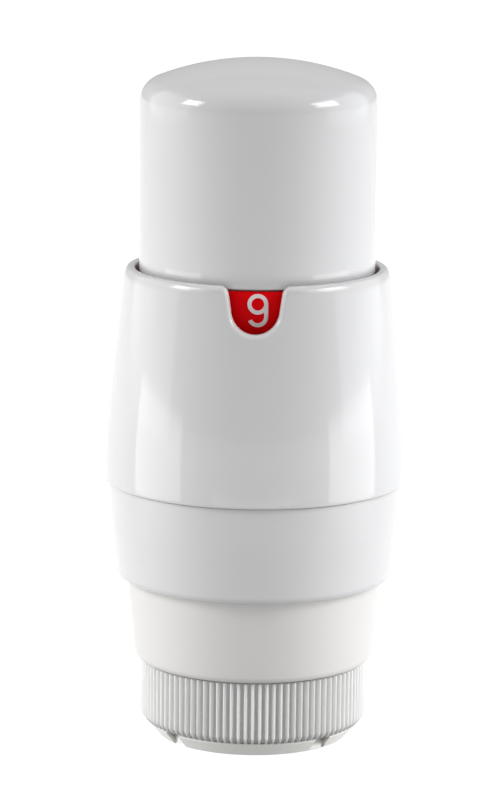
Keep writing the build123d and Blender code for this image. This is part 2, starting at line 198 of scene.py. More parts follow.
def new_group(name, inputs, outputs):
    """Shader node group with float inputs (name: default) and named float outputs."""
    tree = bpy.data.node_groups.new(name, "ShaderNodeTree")
    for label, value in inputs.items():
        socket = tree.interface.new_socket(label, in_out="INPUT", socket_type="NodeSocketFloat")
        socket.default_value = value
    for label in outputs:
        tree.interface.new_socket(label, in_out="OUTPUT", socket_type="NodeSocketFloat")
    nodes = Nodes(tree)
    return nodes, nodes.add("NodeGroupInput").outputs, nodes.add("NodeGroupOutput").inputs


# %% [markdown]
# The skin that a mould leaves is a fine grain on the surface and a slow drift of tone from
# place to place. Three noises of very different sizes give both, and a fourth one stands
# for the rubbing of fingers, which makes some patches a little shinier than others.

# %% Moulded skin
def moulded_skin_group():
    amounts = {"Grain Scale": 2500.0, "Coarse": 0.3}
    n, given, out = new_group("moulded_skin", amounts, ("Height", "Drift", "Rub"))
    place = n.add("ShaderNodeTexCoord").outputs["Object"]
    fine = n.add("ShaderNodeTexNoise", {"Vector": place, "Scale": given["Grain Scale"], "Detail": 3.0})
    wavy = n.add("ShaderNodeTexNoise", {"Vector": place, "Scale": 140.0, "Detail": 2.0})
    slow = n.add("ShaderNodeTexNoise", {"Vector": place, "Scale": 35.0, "Detail": 4.0})
    rub = n.add("ShaderNodeTexNoise", {"Vector": place, "Scale": 90.0, "Detail": 5.0, "Distortion": 1.2})
    coarse = n.math("MULTIPLY", wavy.outputs["Fac"], given["Coarse"])
    n.feed(out["Height"], n.math("ADD", fine.outputs["Fac"], coarse))
    n.feed(out["Drift"], slow.outputs["Fac"])
    n.feed(out["Rub"], n.math("MULTIPLY", n.math("SUBTRACT", rub.outputs["Fac"], 0.5), 2.0))
    return n.tree


# %% [markdown]
# Dust gathers along a seam. All seams of this head are level rings, so the distance from
# one height is enough: the mask is strongest there and is broken up by noise.

# %% Seam dust
def seam_dust_group():
    n, given, out = new_group("seam_dust", {"Seam": 40.0 * MM, "Reach": 1.2 * MM}, ("Mask",))
    place = n.add("ShaderNodeTexCoord").outputs["Object"]
    height = n.add("ShaderNodeSeparateXYZ", {0: place}).outputs["Z"]
    away = n.math("ABSOLUTE", n.math("SUBTRACT", height, given["Seam"]))
    near = n.math("SUBTRACT", 1.0, n.math("DIVIDE", away, given["Reach"]), clamp=True)
    patches = n.add("ShaderNodeTexNoise", {"Vector": place, "Scale": 260.0, "Detail": 4.0})
    n.feed(out["Mask"], n.math("MULTIPLY", n.math("POWER", near, 2.0), patches.outputs["Fac"]))
    return n.tree


# %% [markdown]
# Painted shade darkens grooves and slots, where shadow falls. Both lie below an outer skin
# of known radius, so the mask is full at the bottom of a groove and nothing on the skin.
# `Slant` leans the skin for a conical piece, and nothing inside the radius `Inner` is touched.

# %% Groove shade
def groove_shade_group():
    sizes = {"Outer": 17.5 * MM, "Slant": 0.0, "Depth": 0.6 * MM, "Inner": 0.0}
    n, given, out = new_group("groove_shade", sizes, ("Mask",))
    place = n.add("ShaderNodeTexCoord").outputs["Object"]
    split = n.add("ShaderNodeSeparateXYZ", {0: place}).outputs
    reach = n.math("SQRT", n.math("ADD", n.math("MULTIPLY", split["X"], split["X"]),
                                  n.math("MULTIPLY", split["Y"], split["Y"])))
    skin = n.math("MULTIPLY_ADD", split["Z"], given["Slant"], given["Outer"])
    below = n.math("DIVIDE", n.math("SUBTRACT", skin, reach), given["Depth"], clamp=True)
    depth = n.math("MULTIPLY", below, n.math("GREATER_THAN", reach, given["Inner"]))
    patches = n.add("ShaderNodeTexNoise", {"Vector": place, "Scale": 180.0, "Detail": 4.0})
    # Noise breaks the painted groove shade up into patches.
    patchy_groove_shade = n.math("MULTIPLY_ADD", patches.outputs["Fac"], 0.5, 0.75)
    n.feed(out["Mask"], n.math("MULTIPLY", n.math("POWER", depth, 2.0), patchy_groove_shade, clamp=True))
    return n.tree


SKIN = moulded_skin_group()
GROOVE = groove_shade_group()
DUST = seam_dust_group()
print("groups:", SKIN.name, DUST.name, GROOVE.name)

# %% [markdown]
# One function makes every moulded plastic. The constant values sit on the Principled
# shader itself; the groups only bend the colour, the roughness and the bump.

# %% Plastic helper
def colour(rgb):
    return (*rgb, 1.0)


def effect(n, group, amounts):
    """Places a node group in a material with that material's own amounts."""
    node = n.add("ShaderNodeGroup", amounts, node_tree=group)
    return node.outputs


def tint(n, factor, under, over):
    """Lays one colour over another by a mask."""
    mix = n.add("ShaderNodeMix", {"Factor": factor, "A": under, "B": over}, data_type="RGBA")
    return mix.outputs["Result"]


DUST_ROUGHNESS = 0.3
SKIN_DEPTH = 0.2 * MM


def plastic(name, rgb, shade, roughness, bump=0.02, grain=2500.0, coarse=0.3, rub=0.05, specular=0.5,
            seam=0.0, reach=1.2 * MM, dust_and_shade_colour=(0.30, 0.27, 0.22), dirt=0.5, grooves=None, groove_shade_amount=0.0):
    material = bpy.data.materials.new(name)
    material.use_nodes = True
    n = Nodes(material.node_tree)
    skin = effect(n, SKIN, {"Grain Scale": grain, "Coarse": coarse})
    surface = tint(n, skin["Drift"], colour(rgb), colour(shade))
    dusty = effect(n, DUST, {"Seam": seam, "Reach": reach})["Mask"]
    surface = tint(n, n.math("MULTIPLY", dusty, dirt), surface, colour(dust_and_shade_colour))
    # Painted shade: grooves and slots are darkened towards the dust colour, in place of the shadow that falls
    # in them.
    if grooves:
        groove_shade_mask = effect(n, GROOVE, grooves)["Mask"]
        surface = tint(n, n.math("MULTIPLY", groove_shade_mask, groove_shade_amount), surface, colour(dust_and_shade_colour))
    rubbed = n.math("MULTIPLY_ADD", skin["Rub"], rub, roughness)
    dulled = n.math("ADD", rubbed, n.math("MULTIPLY", dusty, DUST_ROUGHNESS))
    relief = n.add("ShaderNodeBump", {"Height": skin["Height"], "Strength": bump, "Distance": SKIN_DEPTH})
    shader = material.node_tree.nodes["Principled BSDF"]
    shader.inputs["Specular IOR Level"].default_value = specular
    n.feed(shader.inputs["Base Color"], surface)
    n.feed(shader.inputs["Roughness"], dulled)
    n.feed(shader.inputs["Normal"], relief.outputs["Normal"])
    return material


# %% [markdown]
# Now the plastics themselves. The cap and the barrel are glossy, the ring below them is a
# little duller, the cone is satin and slightly warm, and the nut is ribbed, with painted shade
# in its grooves and slots. Each call names the seam where that piece gathers dust.

# %% Plastics
COOL_WHITE, COOL_SHADE = (0.735, 0.735, 0.742), (0.715, 0.715, 0.722)
WHITE = plastic("gloss_white_plastic", COOL_WHITE, COOL_SHADE, 0.09, bump=0.006, rub=0.03,
                seam=RIM - 0.8 * MM, reach=0.9 * MM, dirt=0.2)
SKIRT_WHITE = plastic("skirt_white_plastic", COOL_WHITE, COOL_SHADE, 0.16, bump=0.01, rub=0.03,
                      seam=SEAM, reach=0.9 * MM, dirt=0.45)
SATIN = plastic("satin_white_plastic", (0.775, 0.765, 0.75), (0.75, 0.74, 0.725), 0.38, bump=0.05,
                seam=low("skirt_ring"), reach=1.6 * MM, dirt=0.4)
RIB_DEPTH = 0.62 * MM
# The grooves between the nut's ribs get painted shade.
NUT_WHITE = plastic("ribbed_white_plastic", (0.95, 0.95, 0.94), (0.92, 0.92, 0.91), 0.22, bump=0.05,
                    seam=low("knurled_sleeve"), reach=1.0 * MM, dirt=0.2, dust_and_shade_colour=(0.26, 0.255, 0.25),
                    grooves={"Outer": radius("knurled_sleeve"), "Depth": RIB_DEPTH}, groove_shade_amount=0.52)
# Painted shade in the slots of the nut insert.
SLOT_SKIN = {"Outer": 14.65 * MM, "Slant": 0.84, "Depth": 0.7 * MM, "Inner": 14.5 * MM}
NUT_GREY = plastic("glass_filled_plastic", (0.93, 0.925, 0.89), (0.88, 0.875, 0.84), 0.45, bump=0.12,
                   grain=1500.0, coarse=0.6, seam=low("knurled_sleeve"), reach=1.0 * MM, dirt=0.3,
                   grooves=SLOT_SKIN, groove_shade_amount=0.75)
RED = plastic("scale_red_plastic", (0.95, 0.0, 0.004), (0.88, 0.0, 0.003), 0.5, rub=0.03, specular=0.04,
              dust_and_shade_colour=(0.2, 0.01, 0.01), seam=low("scale_ring"))
PRINT = plastic("scale_print", (0.95, 0.88, 0.88), (0.88, 0.79, 0.80), 0.5, bump=0.1, rub=0.1)
MECHANISM = plastic("grey_acetal", (0.24, 0.245, 0.25), (0.20, 0.205, 0.21), 0.4, bump=0.06)
print("plastics:", [m.name for m in (WHITE, SKIRT_WHITE, SATIN, NUT_WHITE, NUT_GREY, RED, PRINT, MECHANISM)])

# %% [markdown]
# The metals inside are drawn or wound, so fine lines run round or along them. A noise
# stretched along one axis gives the lines; it bends the roughness and the bump.

# %% Metals
def metal(name, rgb, shade, roughness, stretch):
    material = bpy.data.materials.new(name)
    material.use_nodes = True
    n = Nodes(material.node_tree)
    shader = material.node_tree.nodes["Principled BSDF"]
    shader.inputs["Metallic"].default_value = 1.0
    place = n.add("ShaderNodeTexCoord").outputs["Object"]
    drawn = n.add("ShaderNodeMapping", {"Vector": place, "Scale": stretch})
    lines = n.add("ShaderNodeTexNoise", {"Vector": drawn.outputs["Vector"], "Scale": 800.0, "Detail": 4.0})
    stains = n.add("ShaderNodeTexNoise", {"Vector": place, "Scale": 120.0, "Detail": 5.0})
    n.feed(shader.inputs["Base Color"], tint(n, stains.outputs["Fac"], colour(rgb), colour(shade)))
    n.feed(shader.inputs["Roughness"], n.math("MULTIPLY_ADD", lines.outputs["Fac"], 0.18, roughness))
    relief = n.add("ShaderNodeBump", {"Height": lines.outputs["Fac"], "Strength": 0.1, "Distance": 0.0001})
    n.feed(shader.inputs["Normal"], relief.outputs["Normal"])
    return material


STEEL = metal("spring_steel_wire", (0.56, 0.56, 0.57), (0.45, 0.44, 0.43), 0.22, (1.0, 1.0, 0.2))
BRASS = metal("drawn_brass", (0.75, 0.55, 0.27), (0.62, 0.43, 0.20), 0.2, (1.0, 1.0, 6.0))
ALUMINIUM = metal("drawn_aluminium", (0.72, 0.73, 0.75), (0.62, 0.62, 0.64), 0.25, (1.0, 1.0, 6.0))
print("metals:", [m.name for m in (STEEL, BRASS, ALUMINIUM)])

# %% [markdown]
# The floor is a wide pale sheet, part of the stage and not of the head. A lit sheet alone
# turns grey towards the horizon, so this one also glows a little and stays white. Its
# bounce is switched off, because that light would come up under the barrel's rim.

# %% Floor
FLOOR_HALF = 4.0
PAPER_GREY, PAPER_GLOW = 0.45, 0.8


def paper_material():
    paper = bpy.data.materials.new("floor_paper")
    paper.use_nodes = True
    shader = paper.node_tree.nodes["Principled BSDF"]
    shader.inputs["Base Color"].default_value = colour([PAPER_GREY] * 3)
    shader.inputs["Roughness"].default_value = 0.9
    shader.inputs["Emission Color"].default_value = (1, 1, 1, 1)
    shader.inputs["Emission Strength"].default_value = PAPER_GLOW
    return paper


def floor_sheet(half):
    mesh = bpy.data.meshes.new("floor")
    corners = [(-half, -half, 0), (half, -half, 0), (half, half, 0), (-half, half, 0)]
    mesh.from_pydata(corners, [], [(0, 1, 2, 3)])
    mesh.materials.append(paper_material())
    sheet = bpy.data.objects.new("floor", mesh)
    bpy.context.scene.collection.objects.link(sheet)
    sheet.visible_diffuse = False
    print("floor:", 2 * half, "m wide")


floor_sheet(FLOOR_HALF)

# %% [markdown]
# Most of the head is turned about one axis. `rounded` takes the corners of a profile, each
# with its own corner radius, and puts a true arc in every corner. A point just before and
# just after each arc keeps the shading of the long flat runs clean.

# %% Profile helper
HOLD = 0.05 * MM
TINY = 1e-7


def rounded(corners, arc_steps=7, run_step=2.0 * MM):
    """Closed profile from (radius, height, corner radius), all in metres, with arcs in its corners."""
    points = []
    count = len(corners)
    for i, (r, z, fillet) in enumerate(corners):
        here = np.array((r, z))
        before = np.array(corners[i - 1][:2]) - here
        after = np.array(corners[(i + 1) % count][:2]) - here
        run_in, run_out = np.linalg.norm(before), np.linalg.norm(after)
        before, after = before / run_in, after / run_out
        opening = math.acos(float(np.clip(before @ after, -1, 1)))
        if fillet <= 0 or opening > math.pi - 1e-3:
            points.append(here)
            continue
        reach = min(fillet / math.tan(opening / 2), 0.49 * run_in, 0.49 * run_out)
        arc_r = reach * math.tan(opening / 2)
        bisector = (before + after) / np.linalg.norm(before + after)
        centre = here + bisector * arc_r / math.sin(opening / 2)
        start, end = here + before * reach - centre, here + after * reach - centre
        sweep = math.atan2(start[0] * end[1] - start[1] * end[0], float(start @ end))
        if run_in > 4 * HOLD + reach:
            points.append(here + before * (reach + HOLD))
        for k in range(arc_steps + 1):
            a = sweep * k / arc_steps
            c, s = math.cos(a), math.sin(a)
            points.append(centre + np.array((start[0] * c - start[1] * s, start[0] * s + start[1] * c)))
        if run_out > 4 * HOLD + reach:
            points.append(here + after * (reach + HOLD))
    filled = []
    for i, point in enumerate(points):
        following = points[(i + 1) % len(points)]
        steps = max(1, int(np.linalg.norm(following - point) / run_step))
        if point[0] < TINY and following[0] < TINY:
            steps = 1
        filled += [point + (following - point) * k / steps for k in range(steps)]
    return filled


def mm(*corners):
    """Corners given in millimetres, as metres."""
    return [tuple(v * MM for v in corner) for corner in corners]


# %% [markdown]
# The lathe turns such a profile about the upright axis. Blender's Screw modifier would do
# it too, but a written lathe knows which points lie on the axis, so it closes the poles
# with triangles and every face points outwards from the start. `finish_piece` then hides
# the CAD node that the new piece replaces and sets the body it moves with.

# %% Lathe helper
def mesh_object(name, vertices, faces, material, sharp_deg=40.0):
    mesh = bpy.data.meshes.new(name)
    mesh.from_pydata([tuple(map(float, v)) for v in vertices], [], faces)
    mesh.validate()
    mesh.shade_smooth()
    mesh.set_sharp_from_angle(angle=math.radians(sharp_deg))
    mesh.materials.append(material)
    piece = bpy.data.objects.new(name, mesh)
    bpy.context.scene.collection.objects.link(piece)
    return piece


def lathe(name, profile, material, segments=256, sharp_deg=40.0):
    """Turns a closed profile about Z. The profile runs so that its outside faces outwards."""
    ring_start, vertices = [], []
    for r, z in profile:
        ring_start.append(len(vertices))
        if r < TINY:
            vertices.append((0.0, 0.0, z))
            continue
        for k in range(segments):
            a = 2 * math.pi * k / segments
            vertices.append((r * math.cos(a), r * math.sin(a), z))
    faces = []
    for i in range(len(profile)):
        j = (i + 1) % len(profile)
        pole_i, pole_j = profile[i][0] < TINY, profile[j][0] < TINY
        if pole_i and pole_j:
            continue
        for k in range(segments):
            m = (k + 1) % segments
            a, b = ring_start[i], ring_start[j]
            if pole_i:
                faces.append((a, b + m, b + k))
            elif pole_j:
                faces.append((a + k, a + m, b))
            else:
                faces.append((a + k, a + m, b + m, b + k))
    return mesh_object(name, vertices, faces, material, sharp_deg)


def finish_piece(piece, node, body):
    """Hides the CAD node that the piece replaces and lets the piece ride its body."""
    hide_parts(node)
    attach(piece, body)
    print(f"{piece.name}: {len(piece.data.polygons)} faces, on {body}")
    return piece


def finish_elastic_piece(piece, node, low_body, high_body):
    """Like finish_piece for a piece between two bodies, but the piece is attached to neither and stays where
    it is.
    """
    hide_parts(node)
    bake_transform(piece)
    print(f"{piece.name}: {len(piece.data.polygons)} faces, from {low_body} to {high_body}")
    return piece


# %% [markdown]
# The cap is a plain moulded cup, closed by a very shallow dome. Its charm is all in the
# profile: a straight wall, a tight shoulder and a dome that is part of a large sphere.
# Turning a profile is the direct way to make it.

# %% Handwheel cap
def dome_points(edge_r, edge_z, apex_z, steps):
    """Arc of a sphere about the axis, from the edge up to the top."""
    rise = apex_z - edge_z
    sphere_r = (edge_r ** 2 + rise ** 2) / (2 * rise)
    half = math.asin(edge_r / sphere_r)
    angles = [half * (1 - k / steps) for k in range(steps + 1)]
    return [(sphere_r * math.sin(a), apex_z - sphere_r * (1 - math.cos(a))) for a in angles]


SHOULDER_PULL = 0.36


def shoulder_points(wall_r, wall_z, dome_r, dome_z, dome_slope, steps):
    """Smooth turn from the upright wall into the slope of the dome, as a cubic curve."""
    start, end = np.array((wall_r, wall_z)), np.array((dome_r, dome_z))
    pull = SHOULDER_PULL * np.linalg.norm(end - start)
    first = start + np.array((0, pull))
    last = end + np.array((math.cos(dome_slope), -math.sin(dome_slope))) * pull
    curve = []
    for k in range(1, steps):
        t = k / steps
        u = 1 - t
        curve.append(tuple(u ** 3 * start + 3 * t * u ** 2 * first + 3 * t * t * u * last + t ** 3 * end))
    return curve


def cap_profile():
    wall = 1.85 * MM
    shoulder_z, inner_z = TOP - 6.4 * MM, TOP - 5.6 * MM
    dome_r, dome_z = CAP_R - 2.5 * MM, TOP - 2.9 * MM
    slope = 2 * math.atan((TOP - dome_z) / dome_r)
    lower = high("scale_ring") + 0.3 * MM
    inner_r, skirt_out, skirt_in = CAP_R - wall, 16.85 * MM, 15.65 * MM
    outside = [(CAP_R - 0.25 * MM, lower), (CAP_R - 0.08 * MM, lower + 0.07 * MM), (CAP_R, lower + 0.25 * MM)]
    outside += [(CAP_R, lower + (shoulder_z - lower) * k / 12) for k in range(1, 13)]
    outside += shoulder_points(CAP_R, shoulder_z, dome_r, dome_z, slope, 14)
    outside += dome_points(dome_r, dome_z, TOP, 22)
    inside = dome_points(inner_r - 1.0 * MM, inner_z + 0.86 * MM, TOP - wall, 10)[::-1]
    inside += [(inner_r - 0.24 * MM, inner_z + 0.55 * MM), (inner_r, inner_z), (inner_r, lower + 0.1 * MM),
               (skirt_in, 70.5 * MM), (skirt_in, low("handwheel_cap")), (skirt_out, low("handwheel_cap")),
               (skirt_out, lower)]
    return outside + inside


cap = lathe("handwheel_cap_shell", cap_profile(), WHITE, segments=288)
finish_piece(cap, "handwheel_cap", "handwheel")

# %% [markdown]
# The barrel is a swelling tube with a U-shaped window cut into its rim. A boolean would
# leave a ragged edge on a curved wall, so the whole shell is one grid instead: its columns
# start evenly at the foot and end on a line that runs round the rim and dips through the
# window. A rounded lip is then swept along that same line.

# %% Barrel outline
BULGE_R = 23.25 * MM
BULGE_TOP, SLOPE_START, TAPER = 42.0 * MM, 52.0 * MM, 0.115


def barrel_radius(z):
    """Outside radius: upright at the foot, then a smooth turn into a straight taper."""
    bend = (z - BULGE_TOP).clip(0, SLOPE_START - BULGE_TOP)
    drop = TAPER * bend ** 2 / (2 * (SLOPE_START - BULGE_TOP))
    return BULGE_R - drop - TAPER * (z - SLOPE_START).clip(0, None)


WINDOW_HALF, WINDOW_BOTTOM_R, WINDOW_DEPTH = 4.2 * MM, 3.8 * MM, 7.05 * MM
WINDOW_TURN = math.radians(-0.6)
FLARE_R = 1.5 * MM
RIM_R = float(barrel_radius(np.array(RIM)))
ROUND = 2 * math.pi * RIM_R
print(f"barrel {BULGE_R / MM:.2f} mm at the foot, {RIM_R / MM:.2f} mm at the rim")


# %% [markdown]
# The edge line lives on the unrolled wall, as an arc length and a height. The window is a
# round bottom, two leaning sides and a flare into the rim on either side, all tangent.

# %% Edge line of the barrel
def window_line():
    """Right half of the window, from its lowest point out to the rim, as (across, height)."""
    centre_z = RIM - WINDOW_DEPTH + WINDOW_BOTTOM_R
    lean = math.atan2(WINDOW_HALF - WINDOW_BOTTOM_R, RIM - FLARE_R - centre_z)
    points = []
    for k in range(29):
        a = -math.pi / 2 + (math.pi / 2 - lean) * k / 28
        points.append((WINDOW_BOTTOM_R * math.cos(a), centre_z + WINDOW_BOTTOM_R * math.sin(a)))
    flare_centre = (WINDOW_HALF + FLARE_R, RIM - FLARE_R)
    for k in range(15):
        a = math.pi - lean - (math.pi / 2 - lean) * k / 14
        points.append((flare_centre[0] + FLARE_R * math.cos(a), flare_centre[1] + FLARE_R * math.sin(a)))
    return points


def edge_line(rim_steps=420):
    """The whole upper edge as (arc length, height), counter-clockwise from the window's middle."""
    half = window_line()
    run = ROUND - 2 * half[-1][0]
    rim = [(half[-1][0] + run * k / rim_steps, RIM) for k in range(1, rim_steps)]
    mirrored = [(ROUND - x, z) for x, z in half[::-1]]
    return np.array(half + rim + mirrored[:-1])


def inward_directions(line):
    """At every point of the edge, the direction square to it that leads down into the wall."""
    ahead = np.roll(line, -1, axis=0) - line
    ahead[-1] += (ROUND, 0)
    behind = line - np.roll(line, 1, axis=0)
    behind[0] += (ROUND, 0)
    tangent = ahead / np.linalg.norm(ahead, axis=1)[:, None]
    tangent = tangent + behind / np.linalg.norm(behind, axis=1)[:, None]
    tangent /= np.linalg.norm(tangent, axis=1)[:, None]
    return np.stack((tangent[:, 1], -tangent[:, 0]), axis=1)


LINE = edge_line()
INWARD = inward_directions(LINE)
EVEN = np.linspace(0, ROUND, len(LINE), endpoint=False)
print("edge line:", len(LINE), "points")

# %% [markdown]
# The wall is a stack of rings with as many points as the edge line. Low rings are level and
# even; higher ones drift towards the line and follow it. The lip is wide and soft along
# the rim and small in the window, so that the window keeps its crisp outline.

# %% Outside and lip of the barrel
EDGE_R, RIM_REACH, SOFTENING = 0.65 * MM, 1.6 * MM, 4.0 * MM
FOOT_R, BACK_R, WALL = 0.30 * MM, 0.3 * MM, 1.6 * MM
LEDGE_DEPTH = BULGE_R - 21.38 * MM
WALL_ROWS, INNER_ROWS = 34, 12


def ease(t):
    return t * t * (3 - 2 * t)


def wall_ring(across, z, depth):
    """Ring of points on the wall, some depth below its outside."""
    r = barrel_radius(z) - depth
    a = across / RIM_R - math.pi / 2 + WINDOW_TURN
    return np.stack((r * np.cos(a), r * np.sin(a), z), axis=1)


def level_ring(z, depth):
    return wall_ring(EVEN, np.full(len(EVEN), z), depth)


def lip_reach():
    """How far the lip reaches down the outside, at every point of the edge."""
    past_window = np.minimum(LINE[:, 0], ROUND - LINE[:, 0]) - WINDOW_HALF - FLARE_R
    soft = ease((past_window / SOFTENING).clip(0, 1))
    return (EDGE_R + (RIM_REACH - EDGE_R) * soft)[:, None]


def outer_rings(reach):
    rings = [level_ring(BARREL_FOOT, LEDGE_DEPTH), level_ring(BARREL_FOOT, FOOT_R)]
    for k in range(1, 6):
        a = math.pi / 2 * k / 5
        rings.append(level_ring(BARREL_FOOT + FOOT_R * (1 - math.cos(a)), FOOT_R * (1 - math.sin(a))))
    start = LINE + INWARD * (reach + HOLD)
    first_z = BARREL_FOOT + FOOT_R + HOLD
    for k in range(1, WALL_ROWS + 1):
        t = k / WALL_ROWS
        across = EVEN + (start[:, 0] - EVEN) * ease(t)
        rings.append(wall_ring(across, first_z + (start[:, 1] - first_z) * t, 0.0))
    return rings


def lip_rings(reach):
    rings = []
    for k in range(9):
        a = math.pi / 2 * k / 8
        lip = LINE + INWARD * reach * (1 - math.sin(a))
        rings.append(wall_ring(lip[:, 0], lip[:, 1], EDGE_R * (1 - math.cos(a))))
    for k in range(6):
        a = math.pi / 2 * k / 5
        lip = LINE + INWARD * BACK_R * (1 - math.cos(a))
        rings.append(wall_ring(lip[:, 0], lip[:, 1], WALL - BACK_R * (1 - math.sin(a))))
    return rings


# %% [markdown]
# Inside, the wall goes straight down behind the window and then follows the shelf that the
# base snaps into. The last ring meets the first one, so the shell is closed.

# %% Inside of the barrel, and the mesh
SHELF = ((55.0, 1.7), (51.65, 1.8), (51.6, 3.1), (50.1, 3.2), (50.05, 1.75))


def inner_rings():
    top = LINE + INWARD * (BACK_R + HOLD)
    deep = low("scale_ring")
    rings = []
    for k in range(1, INNER_ROWS + 1):
        t = k / INNER_ROWS
        across = top[:, 0] + (EVEN - top[:, 0]) * ease(t)
        rings.append(wall_ring(across, top[:, 1] + (deep - top[:, 1]) * t, WALL))
    rings += [level_ring(z * MM, depth * MM) for z, depth in SHELF]
    return rings + [level_ring(43.4 * MM, LEDGE_DEPTH)]


def barrel_mesh():
    reach = lip_reach()
    rings = outer_rings(reach) + lip_rings(reach) + inner_rings()
    count = len(LINE)
    faces = []
    for i in range(len(rings)):
        j = (i + 1) % len(rings)
        for k in range(count):
            m = (k + 1) % count
            faces.append((i * count + k, i * count + m, j * count + m, j * count + k))
    return np.concatenate(rings), faces


barrel_vertices, barrel_faces = barrel_mesh()
barrel = mesh_object("barrel_outer_shell", barrel_vertices, barrel_faces, WHITE, sharp_deg=50.0)
finish_piece(barrel, "barrel_shell", "base")

# %% [markdown]
# Below the barrel sit a middle ring, a little recessed so that a thin shadow line shows,
# and the lower cone of the base. Both are plain turned shapes with soft lower corners.

# %% Middle ring
foot = low("skirt_ring") / MM
skirt_corners = mm(
    (19.0, foot, 0), (21.35, foot, 2.0), (21.75, foot + 4.0, 6.0), (22.25, foot + 8.9, 20.0),
    (22.7, foot + 15.1, 0.12), (21.35, foot + 15.1, 0), (21.35, foot + 18.3, 0.2), (20.95, foot + 18.3, 0.2),
    (20.6, foot + 8.9, 1.0), (19.95, foot + 2.2, 0.6), (19.0, foot + 2.2, 0))
skirt = lathe("middle_ring", rounded(skirt_corners, arc_steps=9), SKIRT_WHITE)
finish_piece(skirt, "skirt_ring", "base")

# %% [markdown]
# The cone is the part that everything is snapped to, so its profile is the longest one: up
# the outside, over the cup that holds the handwheel's bush, down through the inner tube and
# round the socket that fits over the valve's neck. It is still one closed line, turned once.

# %% Lower cone with the socket for the valve neck
cone_corners = mm(
    (10.4, 9.3, 0.4), (14.0, 9.3, 0), (14.66, 9.75, 0), (14.66, 10.0, 0), (14.1, 10.0, 0),
    (14.1, 11.0, 0), (14.66, 11.0, 0), (14.66, 12.1, 0), (18.35, 12.1, 1.2), (18.62, 14.4, 3.0),
    (19.62, 25.0, 0.12), (18.9, 25.0, 0), (18.9, 41.5, 0), (20.9, 43.6, 0), (20.9, 50.0, 0.2),
    (19.2, 50.0, 0.2), (19.2, 47.95, 0), (19.85, 47.95, 0), (19.85, 46.9, 0), (19.2, 46.9, 0),
    (19.2, 45.0, 0), (17.1, 45.0, 0), (17.1, 30.0, 0), (15.9, 30.0, 0), (15.9, 26.0, 0),
    (16.8, 24.0, 0), (16.6, 14.0, 0.5), (12.0, 14.0, 0.5), (12.0, 29.5, 0.3), (6.05, 29.5, 0),
    (6.05, 26.9, 0.3), (10.4, 26.9, 0.6))
cone = lathe("lower_cone", rounded(cone_corners), SATIN)
finish_piece(cone, "base_housing", "base")

# %% [markdown]
# The nut has a hundred fine ribs outside and a screw thread inside. Both follow a rule, so
# Geometry Nodes make them: one tree presses ribs into a turned sleeve, and another winds a
# thread round a turned bore. The inputs carry the real count, depth and pitch.

# %% Geometry Nodes helper
def geometry_tree(name, inputs, material):
    """Tree with a geometry input and named numbers; returns what a recipe needs to fill it."""
    tree = bpy.data.node_groups.new(name, "GeometryNodeTree")
    tree.interface.new_socket("Geometry", in_out="INPUT", socket_type="NodeSocketGeometry")
    for label, value in inputs.items():
        socket = tree.interface.new_socket(label, in_out="INPUT", socket_type="NodeSocketFloat")
        socket.default_value = value
    tree.interface.new_socket("Geometry", in_out="OUTPUT", socket_type="NodeSocketGeometry")
    n = Nodes(tree)
    given = n.add("NodeGroupInput").outputs
    realize = n.add("GeometryNodeRealizeInstances")
    paint = n.add("GeometryNodeSetMaterial", {"Geometry": realize.outputs[0], "Material": material})
    n.add("NodeGroupOutput", {0: paint.outputs[0]})
    return n, given, realize.inputs[0]


def apply_tree(piece, n, values):
    """Runs a tree on a piece with real values and keeps the result as a plain mesh."""
    modifier = piece.modifiers.new(n.tree.name, "NODES")
    modifier.node_group = n.tree
    for item in n.tree.interface.items_tree:
        if item.item_type == "SOCKET" and item.in_out == "INPUT" and item.name in values:
            modifier[item.identifier] = float(values[item.name])
    bpy.context.view_layer.update()
    evaluated = piece.evaluated_get(bpy.context.evaluated_depsgraph_get())
    mesh = bpy.data.meshes.new_from_object(evaluated)
    piece.modifiers.remove(modifier)
    piece.data = mesh
    mesh.name = piece.name
    return piece


def polar(n):
    """Angle, height and outward direction of every point, for trees that work round the axis."""
    position = n.add("GeometryNodeInputPosition").outputs[0]
    split = n.add("ShaderNodeSeparateXYZ", {0: position}).outputs
    angle = n.math("ARCTAN2", split["Y"], split["X"])
    reach = n.math("SQRT", n.math("ADD", n.math("MULTIPLY", split["X"], split["X"]),
                                  n.math("MULTIPLY", split["Y"], split["Y"])))
    flat = n.add("ShaderNodeCombineXYZ", {"X": split["X"], "Y": split["Y"]}).outputs[0]
    outward = n.add("ShaderNodeVectorMath", {0: flat}, operation="NORMALIZE").outputs[0]
    return angle, split["Z"], reach, outward


def push(n, geometry, outward, amount, target):
    """Moves every point outwards by an amount and hands the geometry on."""
    offset = n.add("ShaderNodeVectorMath", {0: outward, "Scale": amount}, operation="SCALE").outputs[0]
    moved = n.add("GeometryNodeSetPosition", {"Geometry": geometry, "Offset": offset})
    n.feed(target, moved.outputs[0])


# %% [markdown]
# The sleeve of the union nut has a hundred fine ribs for the fingers. They could be cut
# one by one and copied round, but a rib is only a wave in the radius: the tree measures
# the angle of every point and pulls the points between two ribs inwards. The wave is
# stretched and clipped, so that the tops are broad and the grooves between them narrow.

# %% Rib tree
RIBS, POINTS_PER_RIB = 100, 12
RIBS_FROM = 16.3 * MM


